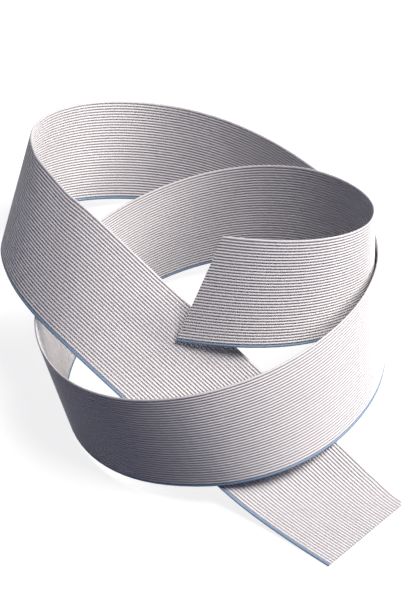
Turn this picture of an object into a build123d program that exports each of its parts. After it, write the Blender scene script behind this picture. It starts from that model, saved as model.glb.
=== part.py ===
from build123d import *
import os

# A flat grey ribbon cable with a blue edge conductor. It stands on its blue edge in loose turns,
# and its last stretch slopes down over the inner turn and comes to lie on the surface.

os.makedirs("parts", exist_ok=True)

# Section of the cable, in millimetres
CONDUCTORS = 37
PITCH = 1.27
THICKNESS = 0.90
EDGE_BEVEL = 0.28
COLOURED_CONDUCTORS = 1

# Sections that each stretch between two route points is drawn through
SECTIONS_PER_STRETCH = 5

# Height of the middle of the cable where it lies flat
LYING = THICKNESS / 2

# The route. Each row is a point of the blue edge, then the way across the cable from there.
# Both edges are smooth curves drawn by these rows, and the cable is straight between them.
ROUTE = [
    # the free end, up in the air above the last stretch
    ((-8, -42.5, 49.5), (19, 14, 43.5)),
    ((8.5, -46, 49.5), (12.5, 15.5, 43.5)),
    ((32, -44, 47), (10.5, 15, 44)),
    ((50.5, -36.5, 43.5), (6.5, 13.5, 44.5)),
    # the small inner turn, sinking to the surface
    ((66, -23, 38.5), (0.5, 8.5, 46.5)),
    ((74, -8, 34), (-2, 3.5, 48)),
    ((75, 7.5, 29.5), (-1.5, 3, 48)),
    ((70.5, 21, 25.5), (-3, 7.5, 46.5)),
    ((60, 36, 20.5), (-4.5, 8.5, 46)),
    ((42, 49.5, 15), (0, 5, 47.5)),
    ((20.5, 55.5, 10.5), (0.5, 5, 47.5)),
    ((-2, 52.5, 7), (-2, 5, 47)),
    ((-23.5, 42, 4), (-6.5, 2.5, 46.5)),
    ((-40, 25.5, 2), (-10, -1, 46)),
    ((-51, 4.5, 0.5), (-11, -3.5, 46)),
    ((-55.5, -19.5, 0), (-11, -2.5, 45.5)),
    # the front band, leaning out and lifting over the last stretch
    ((-51.5, -44.5, 0.5), (-11.5, 0.5, 45.5)),
    ((-40, -65, 2.5), (-11.5, 0.5, 45.5)),
    ((-20.5, -80, 6), (-13, 2.5, 45.5)),
    ((7.5, -87, 11), (-21.5, 4.5, 44)),
    ((28.5, -84.5, 14), (-21, 4, 44)),
    ((46, -76.5, 16), (-11.5, 7.5, 45)),
    ((61.5, -61.5, 16), (-3, 17, 45)),
    ((75.5, -36.5, 14.5), (-3.5, 17.5, 45)),
    ((81, -6.5, 11.5), (-4, 15.5, 45.5)),
    # the wide outer turn at the back
    ((73.5, 26, 7.5), (-3.5, 14.5, 45.5)),
    ((47.5, 66.5, 2.5), (-4, 15, 45.5)),
    ((23, 90, 0.5), (-4.5, 15.5, 45.5)),
    ((0.5, 102.5, 0), (-3.5, 14.5, 45.5)),
    ((-21, 106, 1.5), (-2, 14, 45.5)),
    ((-43, 102, 5.5), (3.5, 14.5, 44.5)),
    ((-62.5, 90, 12), (9.5, 18.5, 42.5)),
    ((-76, 71.5, 20.5), (11.5, 21.5, 41)),
    # the last stretch, sloping down over the inner turn to the surface
    ((-83.5, 47.5, 30), (13, 25, 39.5)),
    ((-83, 19.5, 39), (13, 33.5, 36.5)),
    ((-71.5, -17.5, 47.5), (8.5, 46.5, 33.5)),
    ((-47.5, -48, 45.5), (6.5, 47.5, 34.5)),
    ((-9, -75, 23), (21.5, 35.5, 26)),
    ((-1, -78.5, 15.5), (65.5, 9.5, -7.5)),
    ((26, -97, 0.5), (52, 17.5, 0)),
    ((52, -119.5, LYING), (32, 34.5, 0)),
]

width = CONDUCTORS * PITCH
coloured_width = COLOURED_CONDUCTORS * PITCH


def smooth_curve(points, position):
    """Point of the smooth curve of a row of points, at a position from 0 to the stretch count.

    The curve starts and ends on the outer points, touches each leg between inner points at its
    middle, and is a parabola from one middle to the next.
    """
    stretches = len(points) - 2
    index = min(int(position), stretches - 1)
    part = position - index
    before, corner, after = points[index : index + 3]
    start = before if index == 0 else (before + corner) * 0.5
    end = after if index == stretches - 1 else (corner + after) * 0.5
    return start * (1 - part) ** 2 + corner * 2 * part * (1 - part) + end * part**2


def station(position):
    """Blue edge point, full way across and face normal at a position along the route."""
    edge_points = [Vector(*edge) for edge, across in ROUTE]
    across_points = [Vector(*across) for edge, across in ROUTE]
    reach = 0.01
    last = len(ROUTE) - 2
    ahead = smooth_curve(edge_points, min(position + reach, last))
    behind = smooth_curve(edge_points, max(position - reach, 0))
    along = (ahead - behind).normalized()
    across = smooth_curve(across_points, position)
    square = across - along * across.dot(along)
    across = across * (width / square.length)
    return smooth_curve(edge_points, position), across, along.cross(square).normalized()


def section(position, outline):
    """Closed outline at a position, from pairs of a way across and a height off the middle."""
    edge, across, normal = station(position)
    return Wire.make_polygon(
        [edge + across * (way / width) + normal * height for way, height in outline], close=True
    )


def cable_piece(outline):
    """Solid of one outline, drawn through its sections along the whole route."""
    count = (len(ROUTE) - 2) * SECTIONS_PER_STRETCH
    sections = [section(index / SECTIONS_PER_STRETCH, outline) for index in range(count + 1)]
    return Solid.make_loft(sections, ruled=True)


def bevelled_strip(outer_way, inner_way):
    """Outline of a strip with a bevelled outer edge and a square inner one."""
    face = THICKNESS / 2
    inward = EDGE_BEVEL if inner_way > outer_way else -EDGE_BEVEL
    return [
        (inner_way, face),
        (outer_way + inward, face),
        (outer_way, face - EDGE_BEVEL),
        (outer_way, EDGE_BEVEL - face),
        (outer_way + inward, -face),
        (inner_way, -face),
    ]


blue_edge_jacket = cable_piece(bevelled_strip(0, coloured_width))
grey_jacket = cable_piece(bevelled_strip(width, coloured_width))

export_step(grey_jacket, "parts/grey_jacket.step")
export_step(blue_edge_jacket, "parts/blue_edge_jacket.step")
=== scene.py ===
import logging
import math
from dataclasses import dataclass, field
from enum import Enum
from typing import Any, Optional, Sequence, Union

import bpy
import numpy as np
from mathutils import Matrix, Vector


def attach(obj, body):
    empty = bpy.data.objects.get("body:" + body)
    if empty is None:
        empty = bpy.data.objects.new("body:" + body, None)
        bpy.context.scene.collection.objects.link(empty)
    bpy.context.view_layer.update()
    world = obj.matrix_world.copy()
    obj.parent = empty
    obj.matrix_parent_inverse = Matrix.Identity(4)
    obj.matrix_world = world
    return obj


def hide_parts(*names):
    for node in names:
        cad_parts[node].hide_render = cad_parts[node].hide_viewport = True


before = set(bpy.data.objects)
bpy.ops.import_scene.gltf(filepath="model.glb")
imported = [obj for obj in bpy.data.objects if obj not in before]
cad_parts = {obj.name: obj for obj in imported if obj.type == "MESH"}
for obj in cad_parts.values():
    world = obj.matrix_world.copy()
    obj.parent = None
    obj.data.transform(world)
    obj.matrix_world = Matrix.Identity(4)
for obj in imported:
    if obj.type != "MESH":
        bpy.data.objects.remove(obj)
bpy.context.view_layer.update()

log = logging.getLogger("ribbon_cable")

# Section of the cable, in metres
MM = 0.001
CONDUCTORS = 37
PITCH = 1.27 * MM
WIDTH = CONDUCTORS * PITCH
RIDGE_HALF = 0.45 * MM
WEB_HALF = 0.17 * MM
COLOURED_CONDUCTORS = 1

# The route, in metres. Each row is a point of the blue edge, then the way across the cable.
ROUTE = [
    # the free end, up in the air above the last stretch
    ((-0.008, -0.0425, 0.0495), (0.019, 0.014, 0.0435)),
    ((0.0085, -0.046, 0.0495), (0.0125, 0.0155, 0.0435)),
    ((0.032, -0.044, 0.047), (0.0105, 0.015, 0.044)),
    ((0.0505, -0.0365, 0.0435), (0.0065, 0.0135, 0.0445)),
    # the small inner turn, sinking to the surface
    ((0.066, -0.023, 0.0385), (0.0005, 0.0085, 0.0465)),
    ((0.074, -0.008, 0.034), (-0.002, 0.0035, 0.048)),
    ((0.075, 0.0075, 0.0295), (-0.0015, 0.003, 0.048)),
    ((0.0705, 0.021, 0.0255), (-0.003, 0.0075, 0.0465)),
    ((0.060, 0.036, 0.0205), (-0.0045, 0.0085, 0.046)),
    ((0.042, 0.0495, 0.015), (0.0, 0.005, 0.0475)),
    ((0.0205, 0.0555, 0.0105), (0.0005, 0.005, 0.0475)),
    ((-0.002, 0.0525, 0.007), (-0.002, 0.005, 0.047)),
    ((-0.0235, 0.042, 0.004), (-0.0065, 0.0025, 0.0465)),
    ((-0.040, 0.0255, 0.002), (-0.010, -0.001, 0.046)),
    ((-0.051, 0.0045, 0.0005), (-0.011, -0.0035, 0.046)),
    ((-0.0555, -0.0195, 0.0), (-0.011, -0.0025, 0.0455)),
    # the front band, leaning out and lifting over the last stretch
    ((-0.0515, -0.0445, 0.0005), (-0.0115, 0.0005, 0.0455)),
    ((-0.040, -0.065, 0.0025), (-0.0115, 0.0005, 0.0455)),
    ((-0.0205, -0.080, 0.006), (-0.013, 0.0025, 0.0455)),
    ((0.0075, -0.087, 0.011), (-0.0215, 0.0045, 0.044)),
    ((0.0285, -0.0845, 0.014), (-0.021, 0.004, 0.044)),
    ((0.046, -0.0765, 0.016), (-0.0115, 0.0075, 0.045)),
    ((0.0615, -0.0615, 0.016), (-0.003, 0.017, 0.045)),
    ((0.0755, -0.0365, 0.0145), (-0.0035, 0.0175, 0.045)),
    ((0.081, -0.0065, 0.0115), (-0.004, 0.0155, 0.0455)),
    # the wide outer turn at the back
    ((0.0735, 0.026, 0.0075), (-0.0035, 0.0145, 0.0455)),
    ((0.0475, 0.0665, 0.0025), (-0.004, 0.015, 0.0455)),
    ((0.023, 0.090, 0.0005), (-0.0045, 0.0155, 0.0455)),
    ((0.0005, 0.1025, 0.0), (-0.0035, 0.0145, 0.0455)),
    ((-0.021, 0.106, 0.0015), (-0.002, 0.014, 0.0455)),
    ((-0.043, 0.102, 0.0055), (0.0035, 0.0145, 0.0445)),
    ((-0.0625, 0.090, 0.012), (0.0095, 0.0185, 0.0425)),
    ((-0.076, 0.0715, 0.0205), (0.0115, 0.0215, 0.041)),
    # the last stretch, sloping down over the inner turn to the surface
    ((-0.0835, 0.0475, 0.030), (0.013, 0.025, 0.0395)),
    ((-0.083, 0.0195, 0.039), (0.013, 0.0335, 0.0365)),
    ((-0.0715, -0.0175, 0.0475), (0.0085, 0.0465, 0.0335)),
    ((-0.0475, -0.048, 0.0455), (0.0065, 0.0475, 0.0345)),
    ((-0.009, -0.075, 0.023), (0.0215, 0.0355, 0.026)),
    ((-0.001, -0.0785, 0.0155), (0.0655, 0.0095, -0.0075)),
    ((0.026, -0.097, 0.0005), (0.052, 0.0175, 0.0)),
    ((0.052, -0.1195, 0.00045), (0.032, 0.0345, 0.0)),
]

# The photograph's long side and focal length in pixels, and the sensor that the camera has
IMAGE_LONG_SIDE = 601
FOCAL_PIXELS = 2547.5
SENSOR_MM = 36.0

Colour = tuple[float, float, float]
Place = tuple[float, float, float]


class Socket:
    """One output socket of a node, with arithmetic that adds the nodes it needs."""

    def __init__(self, nodes: "Nodes", output: bpy.types.NodeSocket) -> None:
        """Wrap an output.

        Args:
            nodes: The tree that further nodes go into.
            output: The socket to wrap.
        """
        self.nodes = nodes
        self.output = output

    def maths(self, operation: str, *values: "Value") -> "Socket":
        """Math node on this socket and up to two more values.

        Args:
            operation: The node's operation.
            values: Second and third operand.

        Returns:
            The node's output.
        """
        operands = dict(enumerate((self, *values)))
        return self.nodes.add("ShaderNodeMath", {"operation": operation}, operands)

    def __add__(self, other: "Value") -> "Socket":
        """Sum."""
        return self.maths("ADD", other)

    __radd__ = __add__

    def __sub__(self, other: "Value") -> "Socket":
        """Difference."""
        return self.maths("SUBTRACT", other)

    def __rsub__(self, other: "Value") -> "Socket":
        """Difference with this socket as the second operand."""
        return self.nodes.add("ShaderNodeMath", {"operation": "SUBTRACT"}, {0: other, 1: self})

    def __mul__(self, other: "Value") -> "Socket":
        """Product."""
        return self.maths("MULTIPLY", other)

    __rmul__ = __mul__

    def __truediv__(self, other: "Value") -> "Socket":
        """Quotient."""
        return self.maths("DIVIDE", other)


Value = Union[Socket, float, Sequence[float]]


class Nodes:
    """Node tree of a material or a world, with one way to add any node."""

    def __init__(self, tree: bpy.types.NodeTree) -> None:
        """Wrap a tree.

        Args:
            tree: The tree that nodes go into.
        """
        self.tree = tree

    def add(
        self,
        kind: str,
        settings: Optional[dict[str, Any]] = None,
        values: Optional[dict[Union[str, int], Value]] = None,
        output: Union[str, int] = 0,
    ) -> Socket:
        """Add a node.

        Args:
            kind: The node's type.
            settings: Properties of the node, set first.
            values: Links or values of its inputs, by name or number.
            output: Which of its outputs to return.

        Returns:
            The output, wrapped.
        """
        node = self.tree.nodes.new(kind)
        for name, setting in (settings or {}).items():
            setattr(node, name, setting)
        for name, value in (values or {}).items():
            self.feed(node.inputs[name], value)
        return Socket(self, node.outputs[output])

    def feed(self, target: bpy.types.NodeSocket, value: Value) -> None:
        """Link a wrapped socket to an input, or set the input's own value.

        Args:
            target: The input.
            value: What goes into it.
        """
        if isinstance(value, Socket):
            self.tree.links.new(value.output, target)
        else:
            target.default_value = value

    def blend(self, factor: Value, first: Value, second: Value) -> Socket:
        """Colour between two colours."""
        return self.add("ShaderNodeMix", {"data_type": "RGBA"}, {0: factor, 6: first, 7: second}, 2)

    def scaled(self, vector: Value, factor: Value) -> Socket:
        """Colour or vector times a number."""
        return self.add("ShaderNodeVectorMath", {"operation": "SCALE"}, {0: vector, "Scale": factor})

    def place(self, x: Value, y: Value, z: Value) -> Socket:
        """Vector of three values."""
        return self.add("ShaderNodeCombineXYZ", None, {0: x, 1: y, 2: z})

    def noise(self, place: Value, detail: float) -> Socket:
        """Noise from 0 to 1 with features about one unit across."""
        values = {"Vector": place, "Scale": 1.0, "Detail": detail}
        return self.add("ShaderNodeTexNoise", None, values)

    def step(self, value: Value, low: float, high: float) -> Socket:
        """Smooth step that goes from 0 at the low value to 1 at the high one."""
        values = {"Value": value, "From Min": low, "From Max": high}
        return self.add("ShaderNodeMapRange", {"interpolation_type": "SMOOTHSTEP"}, values)


def opaque(colour: Colour) -> tuple[float, float, float, float]:
    """Colour with full alpha."""
    return (*colour, 1.0)


def swing(pattern: Socket, size: float) -> Socket:
    """Pattern from 0 to 1, made a change to both sides of nothing with the given whole size."""
    return (pattern - 0.5) * size


def new_material(name: str) -> tuple[bpy.types.Material, Nodes, bpy.types.Node]:
    """Make a material with nodes.

    Args:
        name: The material's name.

    Returns:
        The material, its nodes, and the main shader that it starts with.
    """
    material = bpy.data.materials.new(name)
    material.use_nodes = True
    return material, Nodes(material.node_tree), material.node_tree.nodes["Principled BSDF"]


@dataclass(frozen=True)
class SoftPlastic:
    """Extruded semi-gloss plastic of a cable jacket. Its lengths are in millimetres.

    The colour falls from the crest's to the darker painted groove shade's with the height above
    the middle of the cable: the grooves are darkened as painted shade. Each ridge has a slightly
    different tone. Broad clouds and lines along the extrusion change the tone and the gloss, and
    so do a few rubbed spots. The grooves are duller, and the lines and a fine grain stand off the
    surface a little.

    Attributes:
        name: Name of the material.
        crest: Colour on top of a ridge.
        painted_groove_shade: Colour of the web between ridges, darkened as painted shade.
        rubbed: Colour that a rubbed spot goes towards.
        refraction: Refractive index.
        roughness: Roughness that the patterns change.
        cloud_roughness: Whole change of the roughness by the clouds.
        line_roughness: Whole change of the roughness by the lines.
        rubbed_roughness: What a rubbed spot adds to the roughness.
        groove_roughness: What a groove adds to the roughness.
        ridge_tone: Whole change of the tone from ridge to ridge.
        cloud_tone: Whole change of the tone by the clouds.
        line_tone: Whole change of the tone by the lines.
        rubbed_tone: How far a spot goes towards the rubbed colour.
        cloud_size: Size of a cloud along the cable and across it.
        line_length: Length of a line along the cable.
        lines_per_mm: How fine the lines are across the cable.
        grains_per_mm: How fine the grain is.
        spot_size: Size of a spot along the cable and across it.
        spot_levels: Levels of the noise at which a spot starts and is full.
        painted_shade_heights: Heights at which the painted groove shade starts to fade and is gone.
        bump_depth: Depth of the lines and the grain.
        bump_strength: Strength of both.
        bump_line_share: Share of the lines in the depth, beside the grain's.
    """

    name: str
    crest: Colour
    painted_groove_shade: Colour
    rubbed: Colour
    refraction: float = 1.46
    roughness: float = 0.38
    cloud_roughness: float = 0.10
    line_roughness: float = 0.06
    rubbed_roughness: float = 0.12
    groove_roughness: float = 0.10
    ridge_tone: float = 0.05
    cloud_tone: float = 0.06
    line_tone: float = 0.04
    rubbed_tone: float = 0.3
    cloud_size: tuple[float, float] = (38.0, 11.0)
    line_length: float = 70.0
    lines_per_mm: float = 2.6
    grains_per_mm: float = 3.0
    spot_size: tuple[float, float] = (3.0, 1.6)
    spot_levels: tuple[float, float] = (0.70, 0.80)
    painted_shade_heights: tuple[float, float] = (0.15, 0.38)
    bump_depth: float = 0.01
    bump_strength: float = 0.2
    bump_line_share: float = 0.7

    def material(self) -> bpy.types.Material:
        """Make the material.

        The tone is one plus each pattern's swing about its middle, and it scales the colour.
        The roughness is the plastic's own plus the swings, the rubbed spots and the grooves.

        Returns:
            The material, which reads the piece's lay attribute in millimetres.
        """
        material, nodes, shader = new_material(self.name)
        lay = nodes.add("ShaderNodeAttribute", {"attribute_name": "lay"}, None, "Vector")
        axes = {axis: nodes.add("ShaderNodeSeparateXYZ", None, {0: lay}, axis) for axis in "XYZ"}
        run, way, height = axes["X"], axes["Y"], axes["Z"]

        number = (way / (PITCH / MM)).maths("FLOOR")
        ridge = nodes.add("ShaderNodeTexWhiteNoise", {"noise_dimensions": "1D"}, {"W": number})
        length, width = self.cloud_size
        cloud = nodes.noise(nodes.place(run / length, way / width, height), detail=3.0)
        fine_way, fine_height = way * self.lines_per_mm, height * self.lines_per_mm
        line = nodes.noise(nodes.place(run / self.line_length, fine_way, fine_height), detail=2.0)
        grain = nodes.noise(nodes.scaled(lay, self.grains_per_mm), detail=2.0)
        length, width = self.spot_size
        spot = nodes.noise(nodes.place(run / length, way / width, height), detail=4.0)
        spot = nodes.step(spot, *self.spot_levels)
        # painted shade: the grooves between the ridges get a darker colour, as shade would fall there
        painted_groove_shade = 1 - nodes.step(height.maths("ABSOLUTE"), *self.painted_shade_heights)

        # painted shade: the crest colour darkens to the groove colour down in the grooves
        colour = nodes.blend(painted_groove_shade, opaque(self.crest), opaque(self.painted_groove_shade))
        colour = nodes.blend(spot * self.rubbed_tone, colour, opaque(self.rubbed))
        tone = 1 + swing(ridge, self.ridge_tone) + swing(cloud, self.cloud_tone)
        tone = tone + swing(line, self.line_tone)
        nodes.feed(shader.inputs["Base Color"], nodes.scaled(colour, tone))

        roughness = self.roughness + swing(cloud, self.cloud_roughness)
        roughness = roughness + swing(line, self.line_roughness)
        roughness = roughness + spot * self.rubbed_roughness + painted_groove_shade * self.groove_roughness
        nodes.feed(shader.inputs["Roughness"], roughness)

        bump = {
            "Strength": self.bump_strength,
            "Distance": self.bump_depth * MM,
            "Height": line * self.bump_line_share + grain * (1 - self.bump_line_share),
        }
        nodes.feed(shader.inputs["Normal"], nodes.add("ShaderNodeBump", None, bump))
        shader.inputs["IOR"].default_value = self.refraction
        return material


@dataclass(frozen=True)
class TinnedCopper:
    """Tinned wire, coppery where the tin is thin, with a slightly uneven polish.

    Attributes:
        name: Name of the material.
        bright: Colour of the tin.
        coppery: Colour where the tin is thin.
        roughness: Roughness that the patches change.
        patch_roughness: Whole change of the roughness by the patches.
        patch_size: Size of a patch, in metres.
        worn_levels: Levels of the patches at which the copper starts to show and shows fully.
    """

    name: str = "tinned_copper"
    bright: Colour = (0.78, 0.76, 0.73)
    coppery: Colour = (0.72, 0.46, 0.32)
    roughness: float = 0.28
    patch_roughness: float = 0.2
    patch_size: float = 0.25 * MM
    worn_levels: tuple[float, float] = (0.5, 0.75)

    def material(self) -> bpy.types.Material:
        """Make the material.

        Returns:
            The material, which reads the piece's object coordinates.
        """
        material, nodes, shader = new_material(self.name)
        place = nodes.add("ShaderNodeTexCoord", None, None, "Object")
        patch = nodes.noise(nodes.scaled(place, 1 / self.patch_size), detail=2.0)
        worn = nodes.step(patch, *self.worn_levels)
        colour = nodes.blend(worn, opaque(self.bright), opaque(self.coppery))
        nodes.feed(shader.inputs["Base Color"], colour)
        roughness = self.roughness + swing(patch, self.patch_roughness)
        nodes.feed(shader.inputs["Roughness"], roughness)
        shader.inputs["Metallic"].default_value = 1.0
        return material


def unit(rows: np.ndarray) -> np.ndarray:
    """Rows scaled to length one."""
    return rows / np.linalg.norm(rows, axis=-1, keepdims=True)


def spline_points(name: str, points: np.ndarray, resolution: int) -> np.ndarray:
    """Points read along a NURBS line of order three through its control points.

    Args:
        name: Name of the curve.
        points: Control points, in metres.
        resolution: Points for each control point.

    Returns:
        One row for each point, evenly stepped along the line's parameter.
    """
    curve = bpy.data.curves.new(name, "CURVE")
    curve.dimensions = "3D"
    spline = curve.splines.new("NURBS")
    spline.points.add(len(points) - 1)
    spline.points.foreach_set("co", np.column_stack([points, np.ones(len(points))]).ravel())
    spline.order_u = 3
    spline.use_endpoint_u = True
    spline.resolution_u = resolution
    carrier = bpy.data.objects.new(name, curve)
    mesh = bpy.data.meshes.new_from_object(carrier)
    flat = np.empty(len(mesh.vertices) * 3)
    mesh.vertices.foreach_get("co", flat)
    bpy.data.meshes.remove(mesh)
    bpy.data.objects.remove(carrier)
    bpy.data.curves.remove(curve)
    return flat.reshape(-1, 3)


def new_piece(name: str, vertices: np.ndarray, faces: list[list[int]]) -> bpy.types.Object:
    """Make an object at the origin with a mesh of its own, and link it to the scene.

    Args:
        name: Name of the object and of its mesh.
        vertices: Points, in any number of dimensions of which the last is x, y and z.
        faces: Point numbers of each face.

    Returns:
        The object.
    """
    mesh = bpy.data.meshes.new(name)
    mesh.from_pydata(vertices.reshape(-1, 3), [], faces)
    piece = bpy.data.objects.new(name, mesh)
    bpy.context.scene.collection.objects.link(piece)
    return piece


@dataclass
class Band:
    """The cable's middle surface: curved along the route and straight across it.

    Both edges are NURBS lines. The way across is stretched until its part square to the blue
    edge is the cable's width.

    Attributes:
        stations: Number of places along the cable where a section stands.
        reading: Points read from each edge's line for each of its control points.
        edge: Point of the blue edge at each station.
        across: Way across the cable at each station, from edge to edge.
    """

    stations: int = 200
    reading: int = 24
    edge: np.ndarray = field(init=False)
    across: np.ndarray = field(init=False)

    def __post_init__(self) -> None:
        """Read the edges, and space the stations closer where the cable turns or twists.

        Progress along the route is the share of the length travelled plus the share of all
        turning and twisting done, and each station makes the same progress.
        """
        blue = np.array([edge for edge, across in ROUTE])
        bare = blue + np.array([across for edge, across in ROUTE])
        edge = spline_points("blue_edge_line", blue, self.reading)
        across = spline_points("bare_edge_line", bare, self.reading) - edge
        along = unit(np.gradient(edge, axis=0))
        square = across - (across * along).sum(1, keepdims=True) * along
        across = across * WIDTH / np.linalg.norm(square, axis=1, keepdims=True)
        facing = unit(np.cross(along, square))

        step = np.linalg.norm(np.diff(edge + across / 2, axis=0), axis=1)
        turn = np.linalg.norm(np.diff(along, axis=0), axis=1)
        turn = turn + np.linalg.norm(np.diff(facing, axis=0), axis=1)
        progress = np.concatenate([[0.0], np.cumsum(step / step.sum() + turn / turn.sum())])
        wanted = np.linspace(0.0, progress[-1], self.stations)
        self.edge = np.column_stack([np.interp(wanted, progress, axis) for axis in edge.T])
        self.across = np.column_stack([np.interp(wanted, progress, axis) for axis in across.T])
        log.info("route: %d stations, %.4f m long", self.stations, self.travelled()[-1])

    def centre(self) -> np.ndarray:
        """Points of the centre line."""
        return self.edge + self.across / 2

    def travelled(self) -> np.ndarray:
        """Length of the centre line up to each station."""
        steps = np.linalg.norm(np.diff(self.centre(), axis=0), axis=1)
        return np.concatenate([[0.0], np.cumsum(steps)])

    def surface(self, ways: np.ndarray) -> tuple[np.ndarray, np.ndarray, np.ndarray, np.ndarray]:
        """Places on the band and the directions there.

        A place is the blue edge's point plus the way across times the share of the width. The
        direction off the face is square to the one along the cable and to the way across.

        Args:
            ways: Distances from the blue edge, in metres.

        Returns:
            Grids of the place, the direction along the cable, the one across it that is square
            to that, and the one off its face. Each is stations by ways.
        """
        middle = self.edge[:, None] + self.across[:, None] * (ways / WIDTH)[:, None]
        along = unit(np.gradient(middle, axis=0))
        facing = unit(np.cross(along, np.broadcast_to(self.across[:, None], middle.shape)))
        return middle, along, unit(np.cross(facing, along)), facing


@dataclass
class Jacket:
    """Ridged jacket over neighbouring conductors, round at its outer edge.

    Across the cable the half thickness is that of a circle round the nearest conductor, or the
    web's where the circle is thinner. Half an ellipse closes the outer edge.

    Attributes:
        name: Name of the piece.
        node: Solid that the piece stands for.
        slot: Material slot of that solid; not used.
        joint: Distance from the blue edge at which the two jackets meet.
        rim: Distance of the outer edge from the blue edge.
        finish: The plastic.
        side_angle: Angle from the crest of the points between a crest and its feet.
        foot_lean: Share of the foot's angle along which the surface faces there.
        edge_steps: Points from the last crest to the point of the outer edge.
    """

    name: str
    node: str
    slot: str
    joint: float
    rim: float
    finish: SoftPlastic
    side_angle: float = 0.71
    foot_lean: float = 0.8
    edge_steps: int = 4

    def half_outline(self) -> np.ndarray:
        """Upper half of the section, from the joint to the point of the outer edge.

        A ridge's points are its centre plus the radius times the sine and cosine of an angle
        from the crest. The surface there faces along that angle, and at the ridge's foot along
        a part of it, to lead over to the web. Each ridge has one point of the web before it, and
        the last ridge stops at its crest. From there the outer edge's points are the centre plus
        half a pitch times the sine and the radius times the cosine of an angle, and the surface
        faces as that ellipse does.

        Returns:
            Rows of the distance from the blue edge, the height, and the two parts of the
            direction that the surface faces, across the cable and off it.
        """
        foot = math.acos(WEB_HALF / RIDGE_HALF)
        angles = np.array([-foot, -self.side_angle, 0.0, self.side_angle, foot])
        faced = angles * np.array([self.foot_lean, 1.0, 1.0, 1.0, self.foot_lean])
        places = [PITCH / 2 + RIDGE_HALF * np.sin(angles), RIDGE_HALF * np.cos(angles)]
        ridge = np.column_stack([*places, np.sin(faced), np.cos(faced)])
        web = [0.0, WEB_HALF, 0.0, 1.0]
        pattern = np.concatenate([[web], ridge])
        count = round(abs(self.rim - self.joint) / PITCH)
        ridges = np.tile(pattern, (count, 1))
        ridges[:, 0] += np.repeat(np.arange(count) * PITCH, len(pattern))
        past_crest = len(angles) // 2
        ridges = ridges[:-past_crest]

        turn = np.arange(1, self.edge_steps + 1) / self.edge_steps * math.pi / 2
        reach, rise = PITCH / 2, RIDGE_HALF
        places = np.column_stack([ridges[-1, 0] + reach * np.sin(turn), rise * np.cos(turn)])
        faces = unit(np.column_stack([rise * np.sin(turn), reach * np.cos(turn)]))
        outline = np.concatenate([ridges, np.column_stack([places, faces])])
        outward = 1.0 if self.rim > self.joint else -1.0
        outline[:, 0] = self.joint + outward * outline[:, 0]
        outline[:, 2] *= outward
        return outline

    def build(self, band: Band) -> bpy.types.Object:
        """Carry the section along the band, close both ends and dress the piece.

        A point of the jacket is the band's place at its distance from the blue edge plus its
        height along the direction off the face.

        Args:
            band: The cable's middle surface.

        Returns:
            The finished piece.
        """
        upper = self.half_outline()
        lower = upper[-2::-1] * np.array([1.0, -1.0, 1.0, -1.0])
        section = np.concatenate([upper, lower])
        way, height, faced_across, faced_off = section.T
        middle, along, sideways, facing = band.surface(way)
        grid = middle + facing * height[:, None]
        normals = sideways * faced_across[:, None] + facing * faced_off[:, None]
        faces, cuts = self.faces(band.stations, len(upper))
        piece = new_piece(self.name, grid, faces)
        self.shade(piece, normals, along, cuts)
        self.mark(piece, band, way, height)
        piece.data.materials.append(self.finish.material())
        log.info("%s: %d points, %d faces", self.name, grid.size // 3, len(faces))
        return piece

    def faces(self, stations: int, upper: int) -> tuple[list[list[int]], np.ndarray]:
        """Faces of the walls and of both cut ends.

        A wall's four points lie on two stations. A cut end is a row of quads between its upper
        and lower half, and one triangle at the point of the outer edge. The points of the last
        cut's faces run the other way round.

        Args:
            stations: Number of sections along the cable.
            upper: Number of points in the upper half of a section, with the outer edge's.

        Returns:
            Point numbers of each face, and -1 for a face of the first cut, 1 for one of the
            last cut and 0 for a wall.
        """
        around = 2 * upper - 1
        last = (stations - 1) * around
        index = np.arange(stations * around).reshape(stations, around)
        here, there = index[:-1], index[1:]
        walls = np.stack([here, np.roll(here, -1, 1), np.roll(there, -1, 1), there], -1)
        walls = walls.reshape(-1, 4)
        rung = np.arange(upper - 2)
        across = around - 1 - rung
        cut = np.stack([rung, across, across - 1, rung + 1], -1)
        tip = np.array([upper - 2, upper, upper - 1])
        quads = np.concatenate([walls, cut, cut[:, [0, 3, 2, 1]] + last])
        tips = np.stack([tip, tip[[0, 2, 1]] + last])
        if self.rim > self.joint:
            quads, tips = quads[:, ::-1], tips[:, ::-1]
        cuts = np.repeat([0, -1, 1, -1, 1], [len(walls), len(cut), len(cut), 1, 1])
        return quads.tolist() + tips.tolist(), cuts

    def shade(
        self, piece: bpy.types.Object, normals: np.ndarray, along: np.ndarray, cuts: np.ndarray
    ) -> None:
        """Give the walls the section's own directions and keep the two cut ends flat.

        Args:
            piece: The jacket.
            normals: Direction that each point faces.
            along: Direction along the cable at each point.
            cuts: Which cut each face belongs to, as faces gives it.
        """
        mesh = piece.data
        mesh.polygons.foreach_set("use_smooth", np.ones(len(mesh.polygons), bool))
        corners = np.empty(len(mesh.loops), int)
        mesh.loops.foreach_get("vertex_index", corners)
        sizes = np.empty(len(mesh.polygons), int)
        mesh.polygons.foreach_get("loop_total", sizes)
        corner_cuts = np.repeat(cuts, sizes)
        directions = unit(normals.reshape(-1, 3))[corners]
        directions[corner_cuts == -1] = -along[0].mean(0)
        directions[corner_cuts == 1] = along[-1].mean(0)
        mesh.normals_split_custom_set(directions.tolist())

    def mark(
        self, piece: bpy.types.Object, band: Band, way: np.ndarray, height: np.ndarray
    ) -> None:
        """Store where each point lies on the cable, in millimetres, for the finish to read.

        Args:
            piece: The jacket.
            band: The cable's middle surface, which gives the run along the cable.
            way: Distance of each point of the section from the blue edge.
            height: Height of each point of the section above the middle.
        """
        run = np.repeat(band.travelled(), len(way))
        lay = np.column_stack([run, np.tile(way, band.stations), np.tile(height, band.stations)])
        attribute = piece.data.attributes.new("lay", "FLOAT_VECTOR", "POINT")
        attribute.data.foreach_set("vector", (lay / MM).ravel())


class CutEnd(Enum):
    """The two cut ends of the cable."""

    FREE = "free_end"
    LYING = "lying_end"


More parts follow.
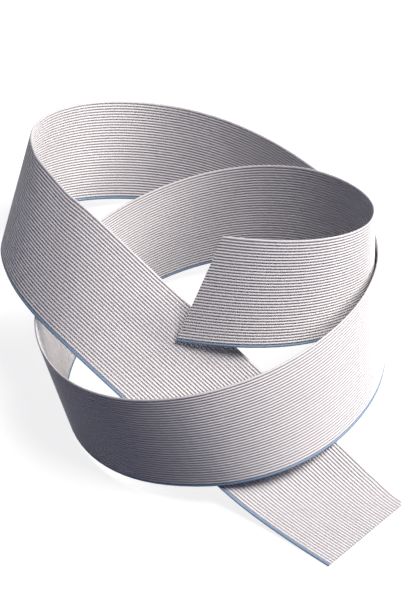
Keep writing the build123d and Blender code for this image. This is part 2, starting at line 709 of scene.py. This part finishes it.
@dataclass
class Cores:
    """Stranded wires that show in one cut end: one strand in the middle and more round it.

    Attributes:
        end: The cut.
        finish: The wire's metal.
        outer_strands: Strands round the middle one.
        strand_radius: Radius of a strand.
        strand_sides: Flat sides that a strand has.
        proud: How far the strands stand out of the cut.
        sunk: How far they go in.
    """

    end: CutEnd
    finish: TinnedCopper = TinnedCopper()
    outer_strands: int = 6
    strand_radius: float = 0.0635 * MM
    strand_sides: int = 8
    proud: float = 0.06 * MM
    sunk: float = 0.6 * MM

    def build(self, band: Band) -> bpy.types.Object:
        """Make the strands of all conductors at the cut.

        Each strand is a short prism: its points are the strand's centre plus the strand's radius
        times the cosine and sine of an angle, at two places along the wire. The outer strands
        stand two radii off the middle one.

        Args:
            band: The cable's middle surface.

        Returns:
            The finished piece.
        """
        middle, along, sideways, facing = band.surface((np.arange(CONDUCTORS) + 0.5) * PITCH)
        free = self.end is CutEnd.FREE
        row = 0 if free else -1
        out = -along[row] if free else along[row]
        ring = self.circle(self.outer_strands, 0.0) * 2 * self.strand_radius
        centres = np.concatenate([[[0.0, 0.0]], ring])
        outline = self.circle(self.strand_sides, 0.5) * self.strand_radius
        offset = (centres[:, None] + outline).reshape(-1, 2)
        flat = middle[row][:, None] + sideways[row][:, None] * offset[:, :1]
        flat = flat + facing[row][:, None] * offset[:, 1:]
        flat = flat.reshape(-1, self.strand_sides, 3)
        reach = np.repeat(out, len(centres), axis=0)[:, None]
        vertices = np.stack([flat - reach * self.sunk, flat + reach * self.proud], 1)
        faces = self.prism_faces(len(flat))
        if free:
            faces = [face[::-1] for face in faces]
        piece = new_piece("cores_" + self.end.value, vertices, faces)
        piece.data.materials.append(self.finish.material())
        log.info("%s: %d strands", piece.name, len(flat))
        return piece

    def circle(self, count: int, shift: float) -> np.ndarray:
        """Cosine and sine of evenly spaced angles, turned on by a share of one space."""
        angles = (np.arange(count) + shift) * 2 * math.pi / count
        return np.column_stack([np.cos(angles), np.sin(angles)])

    def prism_faces(self, count: int) -> list[list[int]]:
        """Faces of closed prisms that come one after the other.

        Args:
            count: Number of prisms, each with its sunk ring of points before its proud one.

        Returns:
            Point numbers of each face, the walls of all prisms before their ends.
        """
        sides = self.strand_sides
        low = np.arange(sides)
        after = (low + 1) % sides
        walls = np.stack([low, after, after + sides, low + sides], -1)
        ends = np.stack([low[::-1], low + sides])
        first = (np.arange(count) * 2 * sides)[:, None, None]
        return (first + walls).reshape(-1, 4).tolist() + (first + ends).reshape(-1, sides).tolist()


@dataclass(frozen=True)
class Lamp:
    """One rectangular studio lamp.

    Attributes:
        name: Name of the lamp.
        place: Where it stands.
        size: Its two sides.
        watts: Its power.
        colour: Colour of its light.
        aim: The point that it faces.
    """

    name: str
    place: Place
    size: tuple[float, float]
    watts: float
    colour: Colour
    aim: Place = (0.0, 0.0, 0.04)

    def build(self) -> None:
        """Add the lamp to the scene."""
        data = bpy.data.lights.new(self.name, "AREA")
        data.shape = "RECTANGLE"
        data.size, data.size_y = self.size
        data.energy = self.watts
        data.color = self.colour
        lamp = bpy.data.objects.new(self.name, data)
        bpy.context.scene.collection.objects.link(lamp)
        lamp.location = self.place
        line = Vector(self.aim) - Vector(self.place)
        lamp.rotation_euler = line.to_track_quat("-Z", "Y").to_euler()
        log.info("lamp %s: %.1f W", self.name, self.watts)


@dataclass
class Studio:
    """Pale floor, soft lamps, plain surroundings and the photograph's camera.

    Attributes:
        camera_elevation: Angle at which the camera looks down, in degrees.
        camera_distance: Distance from the camera to the point that it looks at.
        camera_aim: That point.
        floor_reach: Distance from the middle of the floor to its sides.
        floor_shown: How brightly the floor glows where it is seen.
        floor_pale: Colour of the floor where it is seen, which takes the shadow.
        floor_bounce: Colour of the floor for the light that it throws back.
        surround: Colour of the light from the surroundings.
        surround_strength: Strength of that light.
        lamps: The lamps.
    """

    camera_elevation: float = 41.579
    camera_distance: float = 1.11671
    camera_aim: Place = (0.002, 0.038, 0.0)
    floor_reach: float = 4.0
    floor_shown: float = 0.84
    floor_pale: Colour = (0.30, 0.30, 0.30)
    floor_bounce: Colour = (0.06, 0.06, 0.10)
    surround: Colour = (0.32, 0.38, 1.0)
    surround_strength: float = 0.09
    lamps: tuple[Lamp, ...] = (
        Lamp("key", (1.17, 0.18, 0.84), (0.6, 0.6), watts=21.5, colour=(1.0, 0.955, 0.91)),
        Lamp("overhead", (0.50, -0.24, 1.34), (0.6, 0.6), watts=19.5, colour=(1.0, 0.97, 0.95)),
        Lamp("back", (0.60, 1.30, 0.38), (0.6, 0.4), watts=5.0, colour=(0.92, 0.93, 1.0)),
    )

    def seen_directly(self, nodes: Nodes) -> Socket:
        """Tell what is seen from what only gets light.

        Args:
            nodes: The tree that the nodes go into.

        Returns:
            1 for rays from the camera, off a glossy surface or through a clear one, else 0.
        """
        names = ("Is Camera Ray", "Is Glossy Ray", "Is Transmission Ray")
        camera, glossy, clear = (nodes.add("ShaderNodeLightPath", None, None, name) for name in names)
        return camera.maths("MAXIMUM", glossy).maths("MAXIMUM", clear)

    def build_floor(self) -> None:
        """Add a flat floor that is nearly white where it is seen and keeps the cable's shadow.

        To all other rays it is a dark floor, so that it throws little light on the cable.
        """
        square = np.array([(-1.0, -1.0, 0.0), (1.0, -1.0, 0.0), (1.0, 1.0, 0.0), (-1.0, 1.0, 0.0)])
        floor = new_piece("floor", square * self.floor_reach, [[0, 1, 2, 3]])
        material, nodes, shader = new_material("pale_floor")
        nodes.tree.nodes.remove(shader)
        pale = nodes.add("ShaderNodeBsdfDiffuse", None, {"Color": opaque(self.floor_pale)})
        glow = nodes.add("ShaderNodeEmission", None, {"Strength": self.floor_shown})
        shown = nodes.add("ShaderNodeAddShader", None, {0: pale, 1: glow})
        bounce = nodes.add("ShaderNodeBsdfDiffuse", None, {"Color": opaque(self.floor_bounce)})
        seen = self.seen_directly(nodes)
        mixed = nodes.add("ShaderNodeMixShader", None, {0: seen, 1: bounce, 2: shown})
        nodes.feed(nodes.tree.nodes["Material Output"].inputs["Surface"], mixed)
        floor.data.materials.append(material)

    def build_surround(self) -> None:
        """Add surroundings that are white where they are seen, and a weak cool light to the rest."""
        world = bpy.data.worlds.new("surround")
        world.use_nodes = True
        nodes = Nodes(world.node_tree)
        background = world.node_tree.nodes["Background"]
        seen = self.seen_directly(nodes)
        white = opaque((1.0, 1.0, 1.0))
        nodes.feed(background.inputs["Color"], nodes.blend(seen, opaque(self.surround), white))
        strength = seen * (1 - self.surround_strength) + self.surround_strength
        nodes.feed(background.inputs["Strength"], strength)
        bpy.context.scene.world = world

    def build_camera(self) -> None:
        """Add the camera at the photograph's angle, looking along +Y and down."""
        data = bpy.data.cameras.new("camera")
        data.sensor_width = SENSOR_MM
        data.lens = FOCAL_PIXELS * SENSOR_MM / IMAGE_LONG_SIDE
        camera = bpy.data.objects.new("camera", data)
        bpy.context.scene.collection.objects.link(camera)
        tilt = math.radians(self.camera_elevation)
        backwards = Vector((0.0, -math.cos(tilt), math.sin(tilt)))
        camera.location = Vector(self.camera_aim) + backwards * self.camera_distance
        camera.rotation_euler = (math.pi / 2 - tilt, 0.0, 0.0)
        bpy.context.scene.camera = camera

    def build(self) -> None:
        """Set up everything round the cable."""
        bpy.context.scene.view_settings.view_transform = "Standard"
        self.build_floor()
        self.build_surround()
        self.build_camera()
        for lamp in self.lamps:
            lamp.build()


@dataclass
class RibbonCable:
    """The whole cable: grey jacket, blue edge jacket and the wires at its cut ends.

    Attributes:
        band: The cable's middle surface.
        grey: Plastic of the grey jacket.
        blue: Plastic of the blue edge.
    """

    band: Band
    grey: SoftPlastic = SoftPlastic(
        "grey_soft_plastic",
        crest=(0.66, 0.64, 0.65),
        # painted shade: the groove colour is darker than the crest's, as shade in the grooves
        painted_groove_shade=(0.44, 0.42, 0.43),
        rubbed=(0.74, 0.73, 0.73),
    )
    blue: SoftPlastic = SoftPlastic(
        "blue_soft_plastic",
        crest=(0.16, 0.25, 0.37),
        # painted shade: the groove colour is darker than the crest's, as shade in the grooves
        painted_groove_shade=(0.11, 0.18, 0.28),
        rubbed=(0.24, 0.33, 0.44),
    )

    def jackets(self) -> list[tuple[Jacket, bpy.types.Object]]:
        """Build both jackets, which meet in the middle of the web beside the blue ridge.

        Returns:
            Each jacket with its finished piece, the grey one first.
        """
        joint = COLOURED_CONDUCTORS * PITCH
        parts = [
            Jacket("grey_ridges", "grey_jacket", "grey_pvc", joint, WIDTH, self.grey),
            Jacket("blue_ridge", "blue_edge_jacket", "blue_pvc", joint, 0.0, self.blue, edge_steps=6),
        ]
        return [(part, part.build(self.band)) for part in parts]

    def build(self) -> None:
        """Build every piece, hang it on the root body, and hide the solid that each jacket replaces.
        """
        built = self.jackets()
        for part, piece in built:
            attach(piece, "root")
            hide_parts(part.node)
        cores = [Cores(end).build(self.band) for end in CutEnd]
        for piece in cores:
            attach(piece, "root")
        centre = self.band.centre()
        length = float(self.band.travelled()[-1])
        log.info("cable: %.4f m along its centre", length)


def main() -> None:
    """Build the cable and the studio."""
    logging.basicConfig(level=logging.INFO, format="%(name)s: %(message)s")
    RibbonCable(Band()).build()
    Studio().build()


if __name__ == "__main__":
    main()
